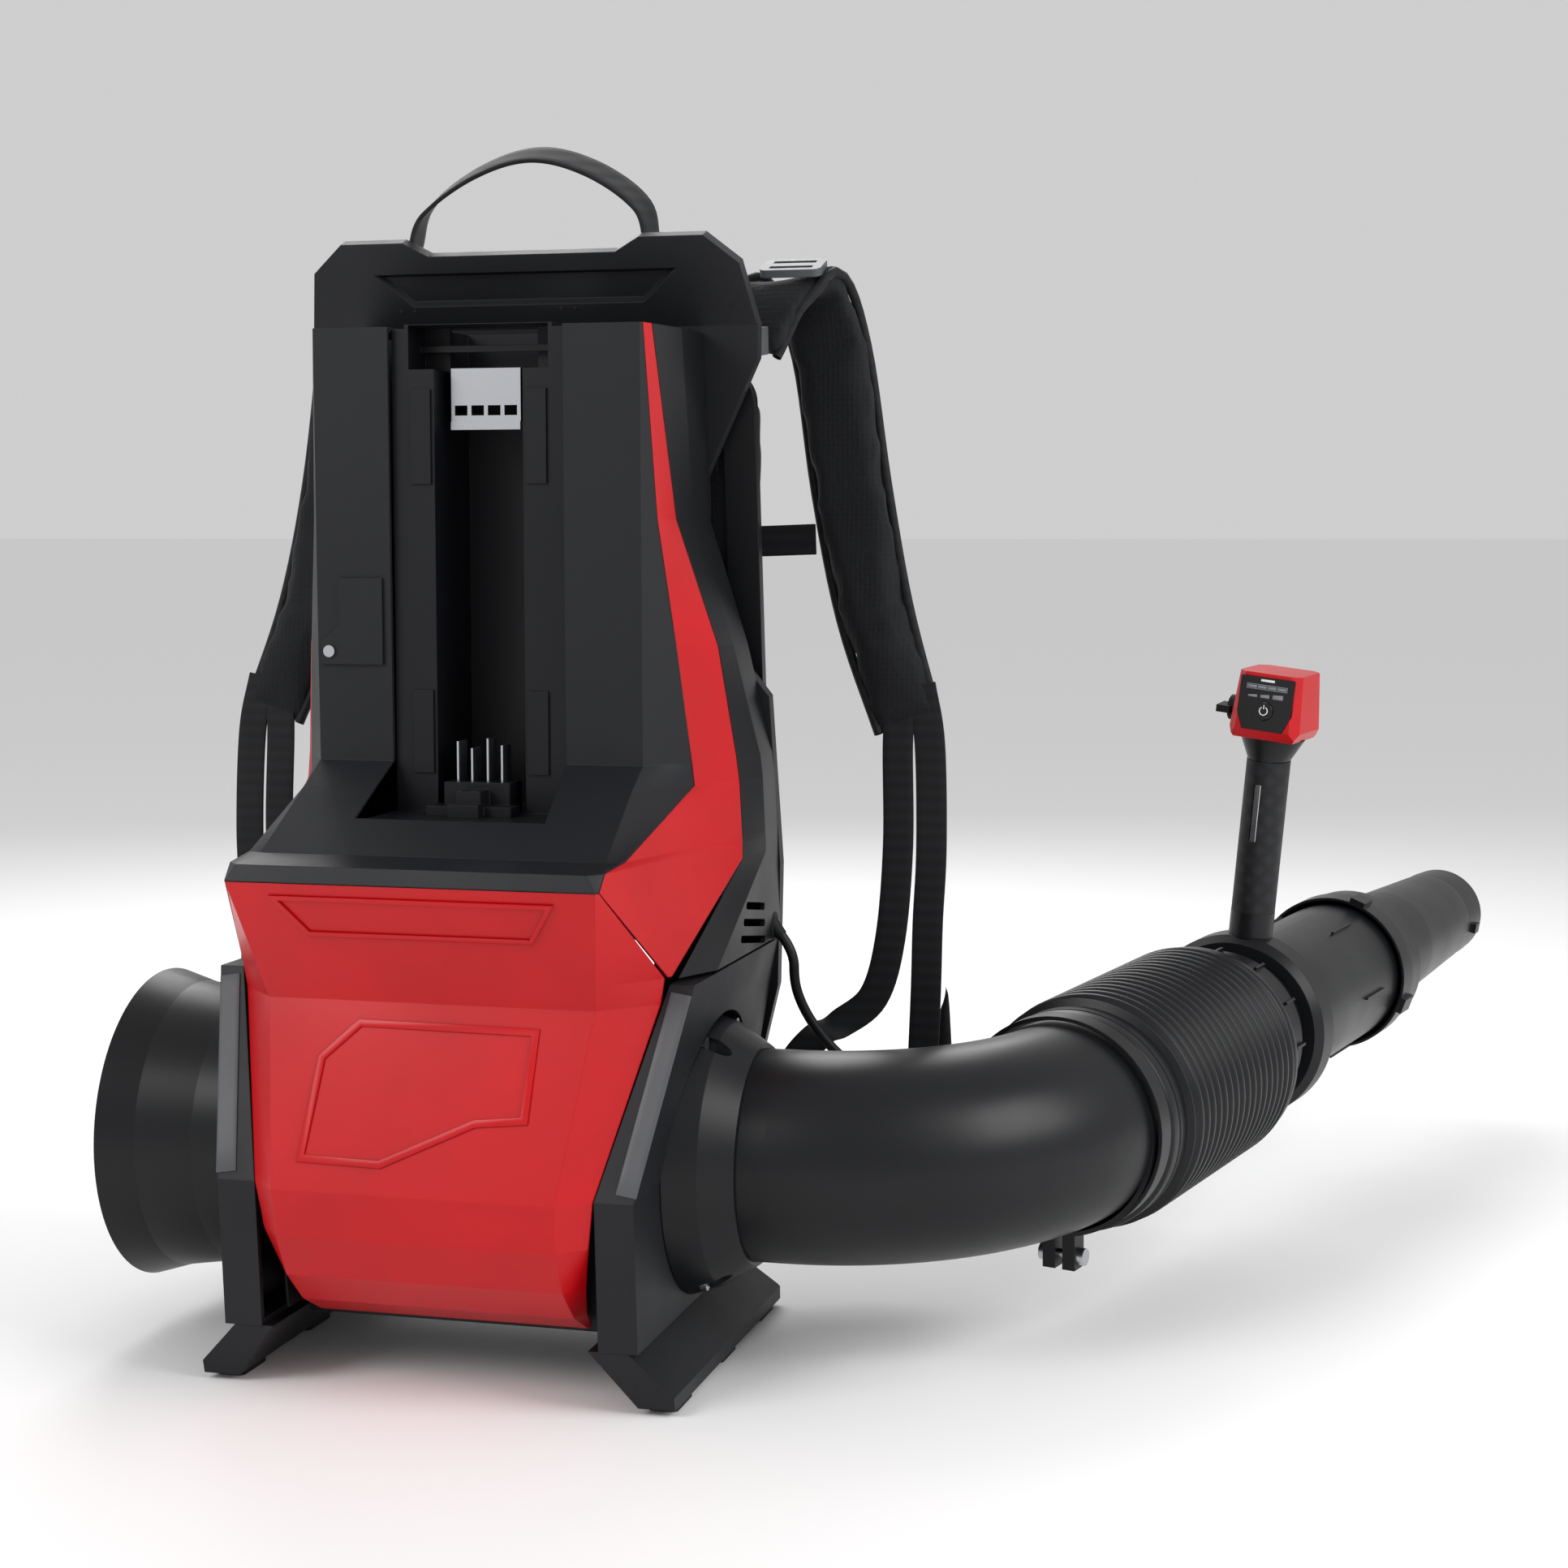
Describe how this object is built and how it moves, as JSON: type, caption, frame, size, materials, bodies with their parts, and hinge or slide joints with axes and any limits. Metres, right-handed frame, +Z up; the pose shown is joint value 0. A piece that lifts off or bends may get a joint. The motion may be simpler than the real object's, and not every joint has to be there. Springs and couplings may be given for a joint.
{
  "type": "backpack leaf blower",
  "caption": "Battery backpack leaf blower: casing with a side axial fan, open battery bay, padded harness, swivelling elbow, bellows, tube with control handle, and nozzle.",
  "frame": {"origin": "centre of the footprint of the whole machine, on the ground", "axes": "+Z up; +Y from the casing towards the wearer, the way the nozzle points; +X to the wearer's right, the duct side"},
  "size_m": [0.8341, 1.0218, 0.7365],
  "materials": {
    "charcoal": "fine moulded texture",
    "black": "satin moulded",
    "red": "semi-gloss",
    "rubber": "matte",
    "steel": "satin",
    "alloy": "satin",
    "bright_trim": "metallised",
    "display": "gloss",
    "cable": "satin sheath",
    "fabric": "woven",
    "buckle": "satin"
  },
  "bodies": {
    "blower_body": {"back_cushions": "fabric", "back_frame": "charcoal", "back_mesh": "fabric", "bay_liner": "black", "bay_pads": "rubber", "cable_gland": "rubber", "casing_screws": "steel", "controller_box": "black", "fan_housing": "black", "feet": "charcoal", "foot_pads": "rubber", "front_panel": "red", "grab_loop": "fabric", "heat_sink": "alloy", "hip_belt": "fabric", "intake_bell": "black", "intake_guard": "steel", "ladder_locks": "buckle", "latch_strike": "steel", "leg_frame_left": "charcoal", "leg_frame_right": "charcoal", "lower_webbing": "fabric", "motor": "alloy", "outlet_collar": "black", "pad_frame": "black", "service_door": "charcoal", "shoulder_strap_left": "fabric", "shoulder_strap_right": "fabric", "side_cover_left": "charcoal", "side_cover_right": "charcoal", "side_panel_left": "red", "side_panel_right": "red", "stator": "black", "sternum_buckle": "buckle", "sternum_strap": "fabric", "strap_anchors": "steel", "terminal_blades": "steel", "terminal_block": "black", "throttle_cable": "cable", "tower_housing": "charcoal"},
    "rotor": {"impeller": "black", "motor_shaft": "steel"},
    "elbow": {"elbow_duct": "black", "bellows": "rubber", "elbow_clamp": "black", "clamp_screw": "steel", "cable_inlet": "black"},
    "tube": {"control_tube": "black"},
    "handle": {"handle_clamp": "black", "handle_stem": "black", "grip_sleeve": "rubber", "grip_insert": "bright_trim", "trigger_pin": "steel", "control_head": "red", "display_panel": "display"},
    "trigger": {"trigger": "rubber"},
    "lock_lever": {"lock_lever": "rubber"},
    "power_button": {"power_button": "display"},
    "nozzle": {"nozzle_coupling": "black", "nozzle_tube": "black"}
  },
  "joints": [
    {"name": "impeller_spin", "type": "hinge", "parent": "blower_body", "child": "rotor", "pos_m": [-0.1666, -0.3589, 0.127], "axis": [1, 0, 0], "continuous": true},
    {"name": "elbow_swivel", "type": "hinge", "parent": "blower_body", "child": "elbow", "pos_m": [-0.0006, -0.3589, 0.127], "axis": [1, 0, 0], "range_deg": [-8, 40], "deforming": ["throttle_cable"]},
    {"name": "bellows_bend", "type": "hinge", "parent": "elbow", "child": "tube", "pos_m": [0.20108, -0.12774, 0.13911], "axis": [0, -0.0523, 0.9986], "range_deg": [-15, 15], "deforming": ["bellows"]},
    {"name": "handle_swing", "type": "hinge", "parent": "tube", "child": "handle", "pos_m": [0.25028, 0.04361, 0.1481], "axis": [0.2756, 0.9599, 0.0503], "range_deg": [-25, 25]},
    {"name": "trigger_pull", "type": "hinge", "parent": "handle", "child": "trigger", "pos_m": [0.2712, 0.04396, 0.32903], "axis": [-0.9568, 0.269, 0.1101], "range_deg": [0, 10], "stiffness_Nm_per_rad": 0.25, "springref_deg": -8.59},
    {"name": "lever_turn", "type": "hinge", "parent": "handle", "child": "lock_lever", "pos_m": [0.24635, 0.03483, 0.37695], "axis": [0.9568, -0.269, -0.1101], "range_deg": [0, 60]},
    {"name": "button_press", "type": "slide", "parent": "handle", "child": "power_button", "axis": [0.2651, 0.963, -0.0487], "range_m": [0, 0.0012], "stiffness_N_per_m": 600, "springref_m": -0.001},
    {"name": "nozzle_twist", "type": "hinge", "parent": "tube", "child": "nozzle", "pos_m": [0.31533, 0.27016, 0.15997], "axis": [0.2756, 0.9599, 0.0503], "range_deg": [0, 30]}
  ]
}
